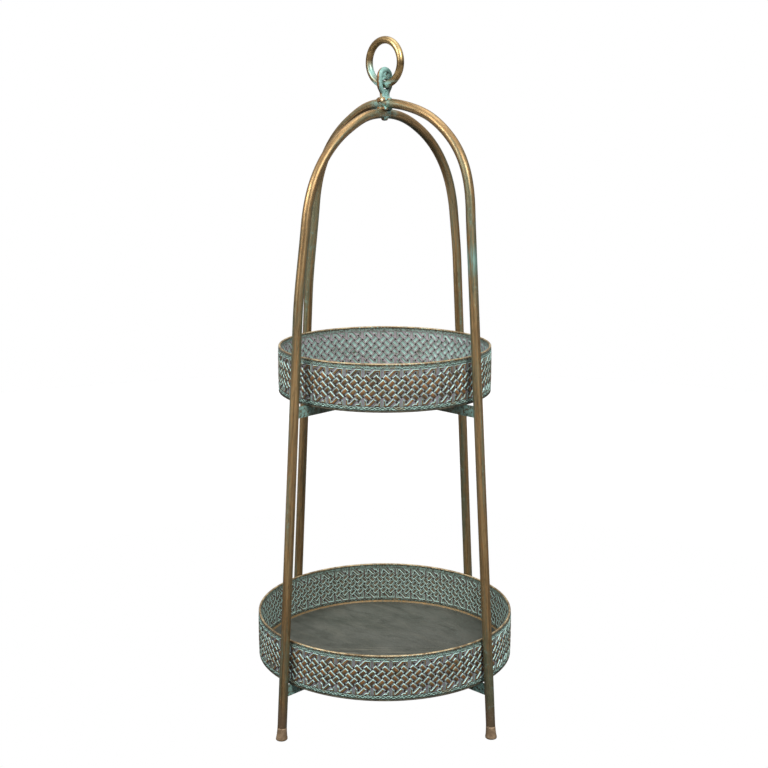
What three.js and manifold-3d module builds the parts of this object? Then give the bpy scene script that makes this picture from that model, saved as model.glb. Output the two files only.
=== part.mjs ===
// Two-tier cake stand: two bent tubes cross at the top and carry two round pressed-metal trays.
// Millimetres, +Z up. The origin is on the floor, at the middle of the four feet.
import * as THREE from 'three';
import { mergeVertices } from 'three/addons/utils/BufferGeometryUtils.js';
import Module from 'manifold-3d';

const wasm = await Module();
wasm.setup();

// --- driving dimensions -------------------------------------------------------------------------
const GAP = 0.3; // clearance between pieces that touch on the real stand

// Arches: each leg is a straight line that leans in, and the bend is tangent to both legs.
const TUBE_RADIUS = 5;
const TUBE_WALL = 1.2;
const LEG_FOOT_RADIUS = 152.3; // leg axis to the middle of its arch at the floor
const LEG_LEAN = 0.069; // inward travel per unit of height
const UPPER_ARCH_TOP = 651.9; // height of the tube's axis at the crown
const LOWER_ARCH_TOP = UPPER_ARCH_TOP - 2 * TUBE_RADIUS - GAP;
const ARCH_OFFSET = 3; // each arch's plane stands this far behind the middle of the trays

// The heads are bent by hand and stray from a half circle. For each side of an arch: how far it
// strays towards +X, the height where that starts and the height from which it is in full.
const HEAD_START = 436; // the legs are straight below this height
const UPPER_STRAY = { plus: [7, 540, 620], minus: [7, 440, 570] };
const LOWER_STRAY = { plus: [-3.7, 480, 560], minus: [7, 440, 560] };
const TRUE_NEAR_CROSSING = 12; // no straying closer to the crossing than this
const FULL_FROM_CROSSING = 60; // full straying further from the crossing than this

// Foot caps: a flared collar under the tube end and a spigot inside it.
const FOOT_RADIUS = 6.2;
const FOOT_HEIGHT = 6.2;
const SPIGOT_LENGTH = 14;

// Trays: rim radius and rim height of each, and the section that both share.
const LOWER_TRAY = { rimRadius: 139.5, rimTop: 107.1 };
const UPPER_TRAY = { rimRadius: 113.3, rimTop: 401.9 };
const TRAY_HEIGHT = 49.6;
const RIM_WIRE_RADIUS = 1.5;
const STRIP_THICKNESS = 1.7;
const HEM_HEIGHT = 1.6;
const PAN_THICKNESS = 1;
const PAN_LIP_HEIGHT = 3;
const PAN_LIP_WIDTH = 1;

// Cross bars: flat bars on edge, half-lapped under the middle of each tray.
const BAR_HEIGHT = 11.3;
const BAR_THICKNESS = 3;

// Eye: a rod bent double, welded into a collar with a stud that runs down through both arches.
const EYE_ROD_RADIUS = 3;
const EYE_LOOP_HALF_WIDTH = 7.4; // rod axis to stand axis where the loop is widest
const EYE_LOOP_CENTRE = 678.1; // centre of the round top of the loop
const EYE_SHOULDER = 669; // height where the loop starts to close
const EYE_NECK = 662.7; // height where the two strands come together
const EYE_FOOT = 657.2;
const COLLAR_RADIUS = 7;
const COLLAR_TOP = 660.8;
const STUD_RADIUS = 2.5;
const STUD_HOLE_RADIUS = STUD_RADIUS + GAP;
const NUT_RADIUS = 3.9;
const NUT_DEPTH = 3.1; // how far the domed nut hangs below the lower arch

// Lifting ring: stands in the eye, in the plane of the upper arch.
const RING_WIRE_RADIUS = 3.85;
const RING_RADIUS = 22.2;
const RING_PIVOT_HEIGHT = 670.9; // axis of the ring's wire where it passes through the eye

// Facets.
const TUBE_SIDES = 16;
const TUBE_BORE_SIDES = 10;
const HEAD_STEPS = 44;
const TRAY_SIDES = 72;

// --- materials ----------------------------------------------------------------------------------
const metal = (color, roughness, metalness) => () =>
  new THREE.MeshStandardMaterial({ color, roughness, metalness });
const agedBronze = metal(0x78624a, 0.45, 0.7);
const brownFoot = metal(0x7a6048, 0.6, 0.5);
const verdigrisEye = metal(0x7d9b8f, 0.7, 0.3);
const wornBrass = metal(0x8a7048, 0.4, 0.8);
const pressedStrip = metal(0x83785f, 0.65, 0.4);
const darkHem = metal(0x45423a, 0.7, 0.4);
const dullSteel = metal(0x65675f, 0.5, 0.7);
const darkBar = metal(0x4c4a3c, 0.7, 0.4);

// --- geometry helpers ---------------------------------------------------------------------------
const toSolid = (geometry) => {
  const bare = geometry.clone();
  bare.deleteAttribute('normal');
  bare.deleteAttribute('uv');
  const merged = mergeVertices(bare, 1e-4);
  return new wasm.Manifold(
    new wasm.Mesh({
      numProp: 3,
      vertProperties: new Float32Array(merged.attributes.position.array),
      triVerts: new Uint32Array(merged.index.array),
    }),
  );
};

const toGeometry = (solid) => {
  const mesh = solid.getMesh();
  const geometry = new THREE.BufferGeometry();
  geometry.setAttribute('position', new THREE.BufferAttribute(mesh.vertProperties, 3));
  geometry.setIndex(new THREE.BufferAttribute(mesh.triVerts, 1));
  geometry.computeVertexNormals();
  return geometry;
};

// A profile of [radius, height] pairs, listed anticlockwise, turned about the Z axis.
const turned = (profile, sides) =>
  new THREE.LatheGeometry(
    profile.map(([radius, height]) => new THREE.Vector2(radius, height)),
    sides,
  ).rotateX(Math.PI / 2);

const closed = (profile) => [...profile, profile[0]];

// A polygon in the XZ plane, given as [x, z] pairs, with its thickness centred on that plane.
const plate = (outline, thickness) =>
  new THREE.ExtrudeGeometry(new THREE.Shape(outline.map(([x, z]) => new THREE.Vector2(x, z))), {
    depth: thickness,
    bevelEnabled: false,
  })
    .translate(0, 0, -thickness / 2)
    .rotateX(Math.PI / 2);

const disc = (radius, sides) => {
  const corners = Array.from({ length: sides }, (_, i) => {
    const turn = (2 * Math.PI * i) / sides;
    return new THREE.Vector2(radius * Math.cos(turn), radius * Math.sin(turn));
  });
  return new THREE.Shape(corners);
};

const swept = (section, path, steps) =>
  new THREE.ExtrudeGeometry(section, { steps, extrudePath: path, bevelEnabled: false });

const uprightRod = (radius, bottom, top, sides = 16) =>
  new THREE.CylinderGeometry(radius, radius, top - bottom, sides)
    .rotateX(Math.PI / 2)
    .translate(0, 0, (top + bottom) / 2);

// --- arches -------------------------------------------------------------------------------------
const LEAN_ANGLE = Math.atan(LEG_LEAN);
const TUBE_START = FOOT_HEIGHT + GAP; // along the leg from the floor to the tube's end

const bendRadius = (top) =>
  (LEG_FOOT_RADIUS - LEG_LEAN * top) / (Math.hypot(1, LEG_LEAN) - LEG_LEAN);

const legRadiusAt = (height) => LEG_FOOT_RADIUS - LEG_LEAN * height;

// crossing is where the other arch crosses, along this arch's own X axis.
const upperHead = { top: UPPER_ARCH_TOP, crossing: -ARCH_OFFSET, stray: UPPER_STRAY };
const lowerHead = { top: LOWER_ARCH_TOP, crossing: ARCH_OFFSET, stray: LOWER_STRAY };

// The axis of one arch in the XZ plane, from the +X foot over the crown to the -X foot.
// Each leg is a single step up to the start of the head, so all the other steps fall on the head.
class ArchCurve extends THREE.Curve {
  constructor(head) {
    super();
    this.head = head;
    this.radius = bendRadius(head.top);
    this.centre = head.top - this.radius;
    const bendStart = this.centre + this.radius * Math.sin(LEAN_ANGLE);
    this.straight = (bendStart - HEAD_START) / Math.cos(LEAN_ANGLE);
    this.halfLength = this.straight + this.radius * (Math.PI / 2 - LEAN_ANGLE);
  }

  headPoint(share) {
    const side = share <= 0.5 ? 1 : -1;
    const along = 2 * Math.min(share, 1 - share) * this.halfLength;
    const turn = LEAN_ANGLE + (along - this.straight) / this.radius;
    const onLeg = along < this.straight;
    const z = onLeg
      ? HEAD_START + along * Math.cos(LEAN_ANGLE)
      : this.centre + this.radius * Math.sin(turn);
    const x = side * (onLeg ? legRadiusAt(z) : this.radius * Math.cos(turn));
    const [amount, low, high] = side > 0 ? this.head.stray.plus : this.head.stray.minus;
    const away = Math.abs(x - this.head.crossing);
    const stray =
      amount *
      THREE.MathUtils.smoothstep(z, low, high) *
      THREE.MathUtils.smoothstep(away, TRUE_NEAR_CROSSING, FULL_FROM_CROSSING);
    return new THREE.Vector3(x + stray, 0, z);
  }

  getPoint(t) {
    const step = t * (HEAD_STEPS + 2);
    if (step >= 1 && step <= HEAD_STEPS + 1) {
      return this.headPoint((step - 1) / HEAD_STEPS);
    }
    const side = step < 1 ? 1 : -1;
    const foot = new THREE.Vector3(
      side * (LEG_FOOT_RADIUS - TUBE_START * Math.sin(LEAN_ANGLE)),
      0,
      TUBE_START * Math.cos(LEAN_ANGLE),
    );
    const along = step < 1 ? step : HEAD_STEPS + 2 - step;
    return foot.lerp(this.headPoint(step < 1 ? 0 : 1), along);
  }

  getUtoTmapping(u) {
    return u;
  }
}

const archTube = (head) => {
  const section = disc(TUBE_RADIUS, TUBE_SIDES);
  section.holes.push(new THREE.Path(disc(TUBE_RADIUS - TUBE_WALL, TUBE_BORE_SIDES).getPoints()));
  const tube = toSolid(swept(section, new ArchCurve(head), HEAD_STEPS + 2));
  const bottom = head.top - 2 * TUBE_RADIUS;
  const drill = uprightRod(STUD_HOLE_RADIUS, bottom, head.top + 2 * TUBE_RADIUS);
  return toGeometry(tube.subtract(toSolid(drill.translate(head.crossing, 0, 0))));
};

// The tube swollen by the clearance, for coping the pieces that sit on it at the crossing.
const copingCutter = (head, turn) => {
  const swollen = swept(disc(TUBE_RADIUS + GAP, TUBE_SIDES), new ArchCurve(head), HEAD_STEPS + 2);
  return toSolid(swollen.translate(-head.crossing, 0, 0).rotateZ(turn));
};

// --- foot caps ----------------------------------------------------------------------------------
const footCap = () => {
  const spigotRadius = TUBE_RADIUS - TUBE_WALL - 1.5 * GAP;
  const below = -FOOT_RADIUS * LEG_LEAN * 2;
  const profile = [
    [0, below],
    [FOOT_RADIUS, below],
    [FOOT_RADIUS, FOOT_HEIGHT * 0.25],
    [FOOT_RADIUS - 0.5, FOOT_HEIGHT * 0.5],
    [TUBE_RADIUS + 0.2, FOOT_HEIGHT * 0.8],
    [TUBE_RADIUS, FOOT_HEIGHT],
    [spigotRadius, FOOT_HEIGHT],
    [spigotRadius, FOOT_HEIGHT + SPIGOT_LENGTH],
    [0, FOOT_HEIGHT + SPIGOT_LENGTH],
  ];
  const cap = turned(profile, TUBE_SIDES).rotateY(-LEAN_ANGLE);
  const underFloor = new THREE.BoxGeometry(4 * FOOT_RADIUS, 4 * FOOT_RADIUS, 10).translate(0, 0, -5);
  return toGeometry(toSolid(cap).subtract(toSolid(underFloor)));
};

// --- cross bars ---------------------------------------------------------------------------------
// The bar's ends follow the lean of the legs. notchUp opens the half lap at the bar's top edge,
// where the other bar crosses.
const crossBar = (tray, crossing, notchUp) => {
  const top = tray.rimTop - TRAY_HEIGHT - GAP;
  const bottom = top - BAR_HEIGHT;
  const clearOfLeg = TUBE_RADIUS * Math.hypot(1, LEG_LEAN) + GAP;
  const topReach = legRadiusAt(top) - clearOfLeg;
  const bottomReach = legRadiusAt(bottom) - clearOfLeg;
  const notchHalf = BAR_THICKNESS / 2 + 1.5 * GAP;
  const notchEnd = (top + bottom) / 2 + (notchUp ? -GAP / 2 : GAP / 2);
  const lap = (edge) => [
    [crossing - notchHalf, edge],
    [crossing - notchHalf, notchEnd],
    [crossing + notchHalf, notchEnd],
    [crossing + notchHalf, edge],
  ];
  const outline = [
    [-bottomReach, bottom],
    ...(notchUp ? [] : lap(bottom)),
    [bottomReach, bottom],
    [topReach, top],
    ...(notchUp ? lap(top).reverse() : []),
    [-topReach, top],
  ];
  return plate(outline, BAR_THICKNESS);
};

// --- trays --------------------------------------------------------------------------------------
const panDisc = (tray) => {
  const base = tray.rimTop - TRAY_HEIGHT;
  const edge = tray.rimRadius - STRIP_THICKNESS - GAP;
  const floor = base + PAN_THICKNESS;
  const lipTop = base + PAN_LIP_HEIGHT;
  const profile = [
    [0, base],
    [edge, base],
    [edge, lipTop],
    [edge - PAN_LIP_WIDTH, lipTop],
    [edge - PAN_LIP_WIDTH, floor],
    [0, floor],
  ];
  return turned(profile, TRAY_SIDES);
};

const trayBand = (tray, bottom, top) => {
  const outside = tray.rimRadius;
  const inside = outside - STRIP_THICKNESS;
  const profile = [
    [inside, bottom],
    [outside, bottom],
    [outside, top],
    [inside, top],
  ];
  return turned(closed(profile), TRAY_SIDES);
};

const baseRing = (tray) => {
  const base = tray.rimTop - TRAY_HEIGHT;
  return trayBand(tray, base, base + HEM_HEIGHT);
};

const gallery = (tray) => {
  const bottom = tray.rimTop - TRAY_HEIGHT + HEM_HEIGHT + GAP;
  return trayBand(tray, bottom, tray.rimTop - 2 * RIM_WIRE_RADIUS - GAP);
};

const rimWire = (tray) =>
  new THREE.TorusGeometry(tray.rimRadius - RIM_WIRE_RADIUS, RIM_WIRE_RADIUS, 8, TRAY_SIDES).translate(
    0,
    0,
    tray.rimTop - RIM_WIRE_RADIUS,
  );

// --- eye, nut and ring --------------------------------------------------------------------------
const eyeRod = () => {
  const strand = EYE_ROD_RADIUS + GAP / 2;
  const half = [
    [strand, EYE_FOOT],
    [strand, (EYE_FOOT + EYE_NECK) / 2],
    [strand + 0.3, EYE_NECK],
    [EYE_LOOP_HALF_WIDTH - 0.2, EYE_SHOULDER],
    [EYE_LOOP_HALF_WIDTH, (EYE_SHOULDER + EYE_LOOP_CENTRE) / 2],
  ];
  const crown = Array.from({ length: 7 }, (_, i) => {
    const turn = (Math.PI * i) / 6;
    return [
      EYE_LOOP_HALF_WIDTH * Math.cos(turn),
      EYE_LOOP_CENTRE + EYE_LOOP_HALF_WIDTH * Math.sin(turn),
    ];
  });
  const otherHalf = half.map(([y, z]) => [-y, z]).reverse();
  const points = [...half, ...crown, ...otherHalf].map(([y, z]) => new THREE.Vector3(0, y, z));
  return swept(disc(EYE_ROD_RADIUS, 12), new THREE.CatmullRomCurve3(points), 32);
};

const nutBottom = LOWER_ARCH_TOP - TUBE_RADIUS - NUT_DEPTH;
const studBottom = nutBottom + 1.6;

const topEye = () => {
  const saddle = UPPER_ARCH_TOP + TUBE_RADIUS * 0.4;
  const collar = turned(
    [
      [0, saddle],
      [COLLAR_RADIUS - 0.6, saddle],
      [COLLAR_RADIUS, COLLAR_TOP - 3.5],
      [COLLAR_RADIUS - 0.4, COLLAR_TOP - 1.5],
      [COLLAR_RADIUS - 1.8, COLLAR_TOP],
      [0, COLLAR_TOP],
    ],
    24,
  );
  const stud = uprightRod(STUD_RADIUS, studBottom, EYE_FOOT + 1, 12);
  const cutter = copingCutter(upperHead, 0);
  const coped = toSolid(collar).add(toSolid(eyeRod())).subtract(cutter);
  return toGeometry(coped.add(toSolid(stud)));
};

const eyeCapNut = () => {
  const rim = LOWER_ARCH_TOP - TUBE_RADIUS + 1.6;
  const boreTop = studBottom - GAP;
  const nut = turned(
    [
      [0, nutBottom],
      [NUT_RADIUS * 0.5, nutBottom + 0.3],
      [NUT_RADIUS * 0.85, nutBottom + 1.1],
      [NUT_RADIUS, nutBottom + 2.2],
      [NUT_RADIUS, rim],
      [STUD_HOLE_RADIUS, rim],
      [STUD_HOLE_RADIUS, boreTop],
      [0, boreTop],
    ],
    20,
  );
  return toGeometry(toSolid(nut).subtract(copingCutter(lowerHead, Math.PI / 2)));
};

const hangingRing = () =>
  new THREE.TorusGeometry(RING_RADIUS, RING_WIRE_RADIUS, 12, 40)
    .rotateX(Math.PI / 2)
    .translate(0, 0, RING_PIVOT_HEIGHT + RING_RADIUS);

// --- assembly -----------------------------------------------------------------------------------
const piece = (name, geometry, material) => {
  const mesh = new THREE.Mesh(geometry, material());
  mesh.name = name;
  return mesh;
};

// One arch with the caps in its feet and the bars welded between its legs, drawn in the XZ plane.
const archFrame = (names, head, notchUp) => {
  const frame = new THREE.Group();
  frame.add(piece(names.arch, archTube(head), agedBronze));
  names.feet.forEach((name, i) => {
    const leg = new THREE.Group();
    const foot = piece(name, footCap(), brownFoot);
    foot.position.x = LEG_FOOT_RADIUS;
    leg.rotation.z = i * Math.PI;
    leg.add(foot);
    frame.add(leg);
  });
  frame.add(piece(names.lowerBar, crossBar(LOWER_TRAY, head.crossing, notchUp), darkBar));
  frame.add(piece(names.upperBar, crossBar(UPPER_TRAY, head.crossing, notchUp), darkBar));
  return frame;
};

const trayPieces = (prefix, tray) => [
  piece(`${prefix}_pan`, panDisc(tray), dullSteel),
  piece(`${prefix}_base_ring`, baseRing(tray), darkHem),
  piece(`${prefix}_gallery`, gallery(tray), pressedStrip),
  piece(`${prefix}_rim_wire`, rimWire(tray), wornBrass),
];

const upperArchNames = {
  arch: 'upper_arch',
  feet: ['foot_cap_front_right', 'foot_cap_back_left'],
  lowerBar: 'lower_cross_bar_x',
  upperBar: 'upper_cross_bar_x',
};
const lowerArchNames = {
  arch: 'lower_arch',
  feet: ['foot_cap_back_right', 'foot_cap_front_left'],
  lowerBar: 'lower_cross_bar_y',
  upperBar: 'upper_cross_bar_y',
};

// The upper arch stands along X and the lower one along Y. Both are set back from the trays'
// middle, towards -X and +Y, so they cross at the point that the eye and the ring stand on.
const upperArch = archFrame(upperArchNames, upperHead, true);
upperArch.position.y = ARCH_OFFSET;
const lowerArch = archFrame(lowerArchNames, lowerHead, false);
lowerArch.rotation.z = Math.PI / 2;
lowerArch.position.x = -ARCH_OFFSET;

const headPieces = new THREE.Group();
headPieces.add(piece('top_eye', topEye(), verdigrisEye));
headPieces.add(piece('eye_cap_nut', eyeCapNut(), verdigrisEye));
headPieces.add(piece('hanging_ring', hangingRing(), wornBrass));
headPieces.position.set(-ARCH_OFFSET, ARCH_OFFSET, 0);

const stand = new THREE.Group();
stand.add(upperArch, lowerArch, headPieces);
stand.add(...trayPieces('lower', LOWER_TRAY), ...trayPieces('upper', UPPER_TRAY));

export default stand;
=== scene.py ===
"""Looks of the two-tier cake stand: aged bronze arches, pressed basket-weave trays and a lifting ring.

Shapes are drawn in millimetres in the frame of the CAD model and turned to metres as each mesh is made.
"""

import math

import bmesh
import bpy
import numpy as np
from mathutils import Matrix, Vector
from mathutils.geometry import delaunay_2d_cdt


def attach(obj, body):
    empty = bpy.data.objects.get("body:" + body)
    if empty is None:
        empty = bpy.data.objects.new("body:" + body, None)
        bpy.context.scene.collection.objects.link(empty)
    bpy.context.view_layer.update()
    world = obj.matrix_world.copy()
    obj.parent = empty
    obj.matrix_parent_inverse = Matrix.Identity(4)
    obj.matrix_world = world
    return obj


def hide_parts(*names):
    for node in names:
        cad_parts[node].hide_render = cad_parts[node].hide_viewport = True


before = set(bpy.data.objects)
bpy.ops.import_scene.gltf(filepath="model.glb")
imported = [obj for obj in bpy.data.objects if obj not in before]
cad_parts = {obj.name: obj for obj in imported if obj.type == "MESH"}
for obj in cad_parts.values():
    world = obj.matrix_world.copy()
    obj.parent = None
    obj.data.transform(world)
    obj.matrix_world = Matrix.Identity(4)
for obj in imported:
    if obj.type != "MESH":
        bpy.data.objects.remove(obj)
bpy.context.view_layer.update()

MM = 0.001

# --- sizes, in millimetres ------------------------------------------------------------------------
TUBE_RADIUS = 5.0
LEG_FOOT_RADIUS = 152.3
LEG_LEAN = 0.069  # inwards for each unit of height
ARCH_TOPS = {"upper_arch": 651.9, "lower_arch": 641.6}
ARCH_OFFSET = 3.0  # from each arch's plane to the middle of the stand
# How far each side of a head strays along the arch, the height where that starts and where it is in full.
STRAY = {"upper_arch": {1: (7.0, 540, 620), -1: (7.0, 440, 570)},
         "lower_arch": {1: (-3.7, 480, 560), -1: (7.0, 440, 560)}}
# Where each arch meets the other, as a distance out, and how far from there the stray starts and is in full.
CROSSINGS = {"upper_arch": -ARCH_OFFSET, "lower_arch": ARCH_OFFSET}
TRUE_NEAR_CROSSING = 12
FULL_FROM_CROSSING = 60
TUBE_END = 5.0  # above the floor, inside the foot
LEG_STEPS, BEND_STEPS = 89, 121
SKIN = 0.1  # how far the drawn tube stays inside the CAD's
UNEVENNESS, DENT = 0.035, 0.12

# Each tray's outer radius, the height of its top, the strip's repeats, the bearing of its seams in degrees,
# how pale its inside has gone, and the seed of its floor's unevenness.
TRAYS = {
    "lower": {"rim": 139.5, "top": 107.1, "units": 46, "seam": -67, "frost": 0.1, "seed": 20},
    "upper": {"rim": 113.3, "top": 401.9, "units": 37, "seam": -96, "frost": 0.9, "seed": 21},
}
TRAY_HEIGHT = 49.6
PAN_INSET, LIP_WIDTH = 2.1, 3.2
SWELL, SAG, FADE_WIDTH = 0.07, 0.12, 12  # the pan's unevenness, which dies out near its lip
RIM_WIRE_RADIUS = 1.5
BEAD_RADIUS, BEAD_INSET, BEAD_DROP = 1.28, 0.06, 0.16  # the bead drawn for that wire

# Pressed strip: radii are measured inwards from the rim radius, heights upwards from the tray's base.
OUTER_WEB = -0.95
OUTER_RELIEF = 1.0
INNER_WEB = -1.78
INNER_RECESS = 0.5
STRIP_BOTTOM = 1.9
STRIP_TOP = 47.3
FIELD_MIDDLE = 24.8
ROW_PITCH = 9.6
TOP_BRAID = {"height": 45.0, "half": 1.3, "wave": 7.6, "strand": 0.62}
BOTTOM_BRAID = {"height": 4.0, "half": 2.1, "wave": 10.6, "strand": 0.95}
BRAID_LIFT, BRAID_INSET = 0.18, 0.02


# --- mesh helpers ---------------------------------------------------------------------------------
def make_mesh(name, points, faces, material, smooth=True, **attributes):
    """An object from points in millimetres. Each attribute is one number or one vector for each point."""
    mesh = bpy.data.meshes.new(name)
    mesh.from_pydata((np.asarray(points) * MM).tolist(), [], [list(f) for f in faces])
    for key, values in attributes.items():
        values = np.asarray(values, np.float32)
        if values.ndim == 1:
            mesh.attributes.new(key, "FLOAT", "POINT").data.foreach_set("value", values)
        else:
            mesh.attributes.new(key, "FLOAT_VECTOR", "POINT").data.foreach_set("vector", values.ravel())
    mesh.validate()
    mesh.update()
    mesh.materials.append(material)
    if smooth:
        mesh.shade_smooth()
    obj = bpy.data.objects.new(name, mesh)
    bpy.context.scene.collection.objects.link(obj)
    return obj


def grid_faces(rows, columns, wrap_rows=False):
    """Quads of a grid whose points are stored row after row. Each row runs round and joins up."""
    r, c = np.meshgrid(np.arange(rows - (not wrap_rows)), np.arange(columns), indexing="ij")
    r, c = r.ravel(), c.ravel()
    r1, c1 = (r + 1) % rows, (c + 1) % columns
    return np.stack([r * columns + c, r * columns + c1, r1 * columns + c1, r1 * columns + c], 1)


def capped_faces(rows, columns):
    """The same quads, with one face over each end."""
    last = (rows - 1) * columns
    caps = [list(range(columns))[::-1], list(range(last, last + columns))]
    return grid_faces(rows, columns).tolist() + caps


def circle(sides):
    """Angles of that many even steps round a circle."""
    return 2 * math.pi * np.arange(sides) / sides


def wobble(values, size, waves, seed):
    """A smooth random curve of that size, read at values that run from 0 to 1 and join up at the ends."""
    local = np.random.default_rng(seed)
    out = np.zeros_like(values)
    for k in range(1, waves + 1):
        out += local.normal(0, 1 / math.sqrt(k)) * np.cos(2 * math.pi * (k * values + local.random()))
    return size * out / math.sqrt(waves)


def sweep(name, centres, side, up, radius, material, closed=False):
    """A tube along centres. side and up span its section, and radius has a number for each grid point.
    Its lane attribute is the place on a straight tube of the same girth, in metres, for streaks along it."""
    n, sides = radius.shape
    turn = circle(sides)
    side = np.broadcast_to(side, (n, 3))[:, None, :]
    up = np.broadcast_to(up, (n, 3))[:, None, :]
    ring = np.cos(turn)[None, :, None] * side + np.sin(turn)[None, :, None] * up
    points = (centres[:, None, :] + radius[:, :, None] * ring).reshape(-1, 3)
    steps = np.linalg.norm(np.diff(centres, axis=0), axis=1)
    along = np.repeat(np.concatenate([[0], np.cumsum(steps)]), sides)
    mean = float(radius.mean())
    lane = np.stack([np.tile(mean * np.cos(turn), n), along, np.tile(mean * np.sin(turn), n)], 1) * MM
    faces = grid_faces(n, sides, wrap_rows=True) if closed else capped_faces(n, sides)
    return make_mesh(name, points, faces, material, lane=lane)


def turned_points(profile, sides):
    """Points of a turned shape about the vertical axis, from (radius, height) pairs."""
    profile = np.asarray(profile, float)
    x, y = profile[:, :1] * np.cos(circle(sides)), profile[:, :1] * np.sin(circle(sides))
    return np.stack([x, y, np.repeat(profile[:, 1:], sides, axis=1)], 2).reshape(-1, 3)


def weld_points(obj, distance):
    """Joins points closer than distance, in millimetres, and turns the faces outwards."""
    bm = bmesh.new()
    bm.from_mesh(obj.data)
    bmesh.ops.remove_doubles(bm, verts=bm.verts, dist=distance * MM)
    bmesh.ops.recalc_face_normals(bm, faces=bm.faces)
    bm.to_mesh(obj.data)
    bm.free()


def modify(obj, kind, **settings):
    """Adds a modifier of that kind with those settings."""
    modifier = obj.modifiers.new(kind.title(), kind)
    for key, value in settings.items():
        setattr(modifier, key, value)


def bake_modifiers(obj):
    """Makes the modifiers' result the object's own mesh."""
    graph = bpy.context.evaluated_depsgraph_get()
    result = bpy.data.meshes.new_from_object(obj.evaluated_get(graph))
    obj.modifiers.clear()
    obj.data = result


# --- material helpers -----------------------------------------------------------------------------
def colour(red, green, blue):
    """An sRGB colour given from 0 to 255, as the linear colour that a node takes."""
    def one(v):
        v /= 255
        return v / 12.92 if v <= 0.04045 else ((v + 0.055) / 1.055) ** 2.4
    return one(red), one(green), one(blue), 1.0


class Finish:
    """A procedural material. Its methods add nodes and return the socket that carries the result."""

    def __init__(self, name, metallic, specular=0.5):
        self.material = bpy.data.materials.new(name)
        self.material.use_nodes = True
        self.tree = self.material.node_tree
        self.shader = self.tree.nodes["Principled BSDF"]
        self.shader.inputs["Metallic"].default_value = metallic
        self.shader.inputs["Specular IOR Level"].default_value = specular

    def add(self, kind, inputs=None, **settings):
        node = self.tree.nodes.new("ShaderNode" + kind)
        for key, value in settings.items():
            setattr(node, key, value)
        for key, value in (inputs or {}).items():
            self.feed(node.inputs[key], value)
        return node

    def feed(self, socket, value):
        if isinstance(value, bpy.types.NodeSocket):
            self.tree.links.new(value, socket)
        else:
            socket.default_value = value

    def place(self):
        """Where a point is on its own object."""
        return self.add("TexCoord").outputs["Object"]

    def attribute(self, name, output="Fac"):
        return self.add("Attribute", attribute_name=name).outputs[output]

    def stretched(self, vector, scale):
        return self.add("Mapping", {"Vector": vector, "Scale": scale}).outputs["Vector"]

    def noise(self, vector, scale, detail=4.0, roughness=0.55, distortion=0.0):
        node = self.add("TexNoise", {"Vector": vector, "Scale": scale, "Detail": detail,
                                     "Roughness": roughness, "Distortion": distortion})
        return node.outputs["Fac"]

    def fit(self, value, low, high, to_low=0.0, to_high=1.0):
        """value from low to high, made to run from to_low to to_high and held there outside."""
        node = self.add("MapRange", {"Value": value, "From Min": low, "From Max": high,
                                     "To Min": to_low, "To Max": to_high})
        return node.outputs["Result"]

    def maths(self, operation, first, second):
        return self.add("Math", {0: first, 1: second}, operation=operation).outputs[0]

    def times(self, first, second):
        return self.maths("MULTIPLY", first, second)

    def mix(self, share, first, second):
        """The first colour, turned into the second by share."""
        node = self.add("Mix", data_type="RGBA")
        self.feed(node.inputs[0], share)
        self.feed(node.inputs[6], first)
        self.feed(node.inputs[7], second)
        return node.outputs[2]

    def dot(self, first, second):
        return self.add("VectorMath", {0: first, 1: second}, operation="DOT_PRODUCT").outputs["Value"]

    def near(self, point, close, far):
        """1 within close metres of a point, and 0 beyond far."""
        node = self.add("VectorMath", {0: self.place(), 1: point}, operation="DISTANCE")
        return self.fit(node.outputs["Value"], far, close)

    def facing(self, direction):
        """How far the surface faces a direction, from -1 to 1."""
        return self.dot(self.add("NewGeometry").outputs["Normal"], direction)

    def upward(self):
        return self.facing((0.0, 0.0, 1.0))

    def along(self, axis):
        """The X, Y or Z of a point on its own object."""
        return self.add("SeparateXYZ", {"Vector": self.place()}).outputs[axis]

    def height(self):
        return self.along("Z")

    def finish(self, base, roughness, *bumps):
        """bumps are (height socket, strength, distance in millimetres), coarse first."""
        self.feed(self.shader.inputs["Base Color"], base)
        self.feed(self.shader.inputs["Roughness"], roughness)
        normal = None
        for value, strength, distance in bumps:
            node = self.add("Bump", {"Height": value, "Strength": strength, "Distance": distance * MM})
            if normal:
                self.feed(node.inputs["Normal"], normal)
            normal = node.outputs["Normal"]
        if normal:
            self.feed(self.shader.inputs["Normal"], normal)
        return self.material


VERDIGRIS = colour(134, 174, 164)
PALE_VERDIGRIS = colour(164, 202, 194)
DARK_OLIVE = colour(52, 48, 34)
LILAC_GREY = colour(150, 144, 150)
PALE_GOLD_HIGHLIGHT = colour(208, 190, 150)
PAINTED_SHADE_DARK = colour(40, 36, 28)
# Level directions as the stand is seen in the photograph, and the place of the crossing in metres.
FRONT, RIGHT, LEFT = (0.695, -0.719, 0.0), (0.719, 0.695, 0.0), (-0.719, -0.695, 0.0)
CROSSING_PLACE = (-0.003, 0.003, 0.648)


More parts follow.
